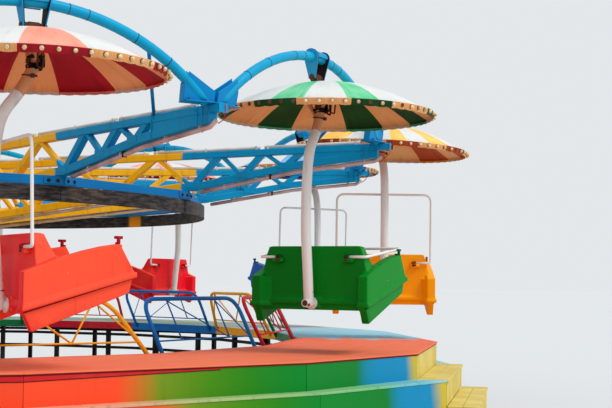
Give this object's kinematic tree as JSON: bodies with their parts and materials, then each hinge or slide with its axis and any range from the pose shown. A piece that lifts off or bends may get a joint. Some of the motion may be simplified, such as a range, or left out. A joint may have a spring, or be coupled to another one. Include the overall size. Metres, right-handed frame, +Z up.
{
  "type": "chair swing ride",
  "caption": "Fairground carousel with lattice arms, arched hangers, canopied double seats that swing outward, and a stepped round platform.",
  "frame": {"origin": "on the ground under the middle of the carousel, at the base of the pedestal", "axes": "+Z up along the carousel's axis; +X and +Y level, with the stairs at about 35 degrees from +X towards -Y"},
  "size_m": [14.1188, 14.1188, 3.807],
  "materials": {
    "blue_paint": "glossy blue enamel over welded steel, scuffed and chipped at edges",
    "ring_paint": "blue channel over a scuffed black hoop",
    "hub_paint": "yellow enamel",
    "steel": "dark grey painted steel, dusty",
    "deck_paint": "matt deck paint in changing colours, worn",
    "railing_paint": "round tube railings, each bay in its own colour: yellow, blue, red or green",
    "stair_paint": "pale yellow painted boards, worn",
    "bar_white": "white painted tube",
    "tub_red": "moulded plastic with a soft sheen",
    "tub_green": "moulded plastic with a soft sheen",
    "tub_orange": "moulded plastic with a soft sheen",
    "tub_blue": "moulded plastic with a soft sheen",
    "canopy_red": "painted sheet gores, white and red by turns, on a white pole",
    "canopy_green": "painted sheet gores, white and green by turns, on a white pole",
    "canopy_orange": "painted sheet gores, white and orange by turns, on a white pole",
    "canopy_blue": "painted sheet gores, white and blue by turns, on a white pole"
  },
  "bodies": {
    "root": {"centre_pedestal": "steel", "platform_1": "deck_paint", "platform_2": "deck_paint", "railings_1": "railing_paint", "railings_2": "railing_paint", "railings_3": "railing_paint", "stairs": "stair_paint"},
    "carousel": {"slewing_hub": "hub_paint", "drive_ring": "ring_paint", "girder_1": "blue_paint", "girder_2": "blue_paint", "girder_3": "blue_paint", "girder_4": "blue_paint", "girder_5": "blue_paint", "girder_6": "blue_paint", "girder_7": "blue_paint", "girder_8": "blue_paint", "girder_9": "blue_paint", "girder_10": "blue_paint", "girder_11": "blue_paint", "girder_12": "blue_paint", "arches_1": "blue_paint", "arches_2": "blue_paint", "arches_3": "blue_paint"},
    "seat_1": {"canopy_1": "canopy_red", "tub_1": "tub_red"},
    "bar_1": {"lap_bar_1": "bar_white"},
    "seat_2": {"canopy_2": "canopy_green", "tub_2": "tub_green"},
    "bar_2": {"lap_bar_2": "bar_white"},
    "seat_3": {"canopy_3": "canopy_orange", "tub_3": "tub_orange"},
    "bar_3": {"lap_bar_3": "bar_white"},
    "seat_4": {"canopy_4": "canopy_blue", "tub_4": "tub_blue"},
    "bar_4": {"lap_bar_4": "bar_white"},
    "seat_5": {"canopy_5": "canopy_red", "tub_5": "tub_red"},
    "bar_5": {"lap_bar_5": "bar_white"},
    "seat_6": {"canopy_6": "canopy_green", "tub_6": "tub_green"},
    "bar_6": {"lap_bar_6": "bar_white"},
    "seat_7": {"canopy_7": "canopy_orange", "tub_7": "tub_orange"},
    "bar_7": {"lap_bar_7": "bar_white"},
    "seat_8": {"canopy_8": "canopy_blue", "tub_8": "tub_blue"},
    "bar_8": {"lap_bar_8": "bar_white"},
    "seat_9": {"canopy_9": "canopy_red", "tub_9": "tub_red"},
    "bar_9": {"lap_bar_9": "bar_white"},
    "seat_10": {"canopy_10": "canopy_green", "tub_10": "tub_green"},
    "bar_10": {"lap_bar_10": "bar_white"},
    "seat_11": {"canopy_11": "canopy_orange", "tub_11": "tub_orange"},
    "bar_11": {"lap_bar_11": "bar_white"},
    "seat_12": {"canopy_12": "canopy_blue", "tub_12": "tub_blue"},
    "bar_12": {"lap_bar_12": "bar_white"}
  },
  "joints": [
    {"name": "carousel_turn", "type": "hinge", "parent": "root", "child": "carousel", "pos_m": [0, 0, 1.99], "axis": [0, 0, 1], "continuous": true},
    {"name": "seat_swing_1", "type": "hinge", "parent": "carousel", "child": "seat_1", "pos_m": [1.09069, -6.0017, 3.56], "axis": [-0.9839, -0.1788, 0], "range_deg": [-8, 30]},
    {"name": "bar_lift_1", "type": "hinge", "parent": "seat_1", "child": "bar_1", "pos_m": [0.93103, -6.10186, 1.866], "axis": [-0.1788, 0.9839, 0], "range_deg": [0, 84.5]},
    {"name": "seat_swing_2", "type": "hinge", "parent": "carousel", "child": "seat_2", "pos_m": [3.94542, -4.65228, 3.56], "axis": [-0.7627, -0.6468, 0], "range_deg": [-8, 30]},
    {"name": "bar_lift_2", "type": "hinge", "parent": "seat_2", "child": "bar_2", "pos_m": [3.85723, -4.81885, 1.866], "axis": [0.6468, -0.7627, 0], "range_deg": [0, 84.5]},
    {"name": "seat_swing_3", "type": "hinge", "parent": "carousel", "child": "seat_3", "pos_m": [5.74297, -2.05628, 3.56], "axis": [-0.3371, -0.9415, 0], "range_deg": [-8, 30]},
    {"name": "bar_lift_3", "type": "hinge", "parent": "seat_3", "child": "bar_3", "pos_m": [5.74988, -2.24464, 1.866], "axis": [-0.9415, 0.3371, 0], "range_deg": [0, 84.5]},
    {"name": "seat_swing_4", "type": "hinge", "parent": "carousel", "child": "seat_4", "pos_m": [6.0017, 1.09069, 3.56], "axis": [0.1788, -0.9839, 0], "range_deg": [-8, 30]},
    {"name": "bar_lift_4", "type": "hinge", "parent": "seat_4", "child": "bar_4", "pos_m": [6.10186, 0.93103, 1.866], "axis": [-0.9839, -0.1788, 0], "range_deg": [0, 84.5]},
    {"name": "seat_swing_5", "type": "hinge", "parent": "carousel", "child": "seat_5", "pos_m": [4.65228, 3.94542, 3.56], "axis": [0.6468, -0.7627, 0], "range_deg": [-8, 30]},
    {"name": "bar_lift_5", "type": "hinge", "parent": "seat_5", "child": "bar_5", "pos_m": [4.81885, 3.85723, 1.866], "axis": [-0.7627, -0.6468, 0], "range_deg": [0, 84.5]},
    {"name": "seat_swing_6", "type": "hinge", "parent": "carousel", "child": "seat_6", "pos_m": [2.05628, 5.74297, 3.56], "axis": [0.9415, -0.3371, 0], "range_deg": [-8, 30]},
    {"name": "bar_lift_6", "type": "hinge", "parent": "seat_6", "child": "bar_6", "pos_m": [2.24464, 5.74988, 1.866], "axis": [-0.3371, -0.9415, 0], "range_deg": [0, 84.5]},
    {"name": "seat_swing_7", "type": "hinge", "parent": "carousel", "child": "seat_7", "pos_m": [-1.09069, 6.0017, 3.56], "axis": [0.9839, 0.1788, 0], "range_deg": [-8, 30]},
    {"name": "bar_lift_7", "type": "hinge", "parent": "seat_7", "child": "bar_7", "pos_m": [-0.93103, 6.10186, 1.866], "axis": [0.1788, -0.9839, 0], "range_deg": [0, 84.5]},
    {"name": "seat_swing_8", "type": "hinge", "parent": "carousel", "child": "seat_8", "pos_m": [-3.94542, 4.65228, 3.56], "axis": [0.7627, 0.6468, 0], "range_deg": [-8, 30]},
    {"name": "bar_lift_8", "type": "hinge", "parent": "seat_8", "child": "bar_8", "pos_m": [-3.85723, 4.81885, 1.866], "axis": [0.6468, -0.7627, 0], "range_deg": [0, 84.5]},
    {"name": "seat_swing_9", "type": "hinge", "parent": "carousel", "child": "seat_9", "pos_m": [-5.74297, 2.05628, 3.56], "axis": [0.3371, 0.9415, 0], "range_deg": [-8, 30]},
    {"name": "bar_lift_9", "type": "hinge", "parent": "seat_9", "child": "bar_9", "pos_m": [-5.74988, 2.24464, 1.866], "axis": [0.9415, -0.3371, 0], "range_deg": [0, 84.5]},
    {"name": "seat_swing_10", "type": "hinge", "parent": "carousel", "child": "seat_10", "pos_m": [-6.0017, -1.09069, 3.56], "axis": [-0.1788, 0.9839, 0], "range_deg": [-8, 30]},
    {"name": "bar_lift_10", "type": "hinge", "parent": "seat_10", "child": "bar_10", "pos_m": [-6.10186, -0.93103, 1.866], "axis": [0.9839, 0.1788, 0], "range_deg": [0, 84.5]},
    {"name": "seat_swing_11", "type": "hinge", "parent": "carousel", "child": "seat_11", "pos_m": [-4.65228, -3.94542, 3.56], "axis": [-0.6468, 0.7627, 0], "range_deg": [-8, 30]},
    {"name": "bar_lift_11", "type": "hinge", "parent": "seat_11", "child": "bar_11", "pos_m": [-4.81885, -3.85723, 1.866], "axis": [0.7627, 0.6468, 0], "range_deg": [0, 84.5]},
    {"name": "seat_swing_12", "type": "hinge", "parent": "carousel", "child": "seat_12", "pos_m": [-2.05628, -5.74297, 3.56], "axis": [-0.9415, 0.3371, 0], "range_deg": [-8, 30]},
    {"name": "bar_lift_12", "type": "hinge", "parent": "seat_12", "child": "bar_12", "pos_m": [-2.24464, -5.74988, 1.866], "axis": [0.3371, 0.9415, 0], "range_deg": [0, 84.5]}
  ]
}
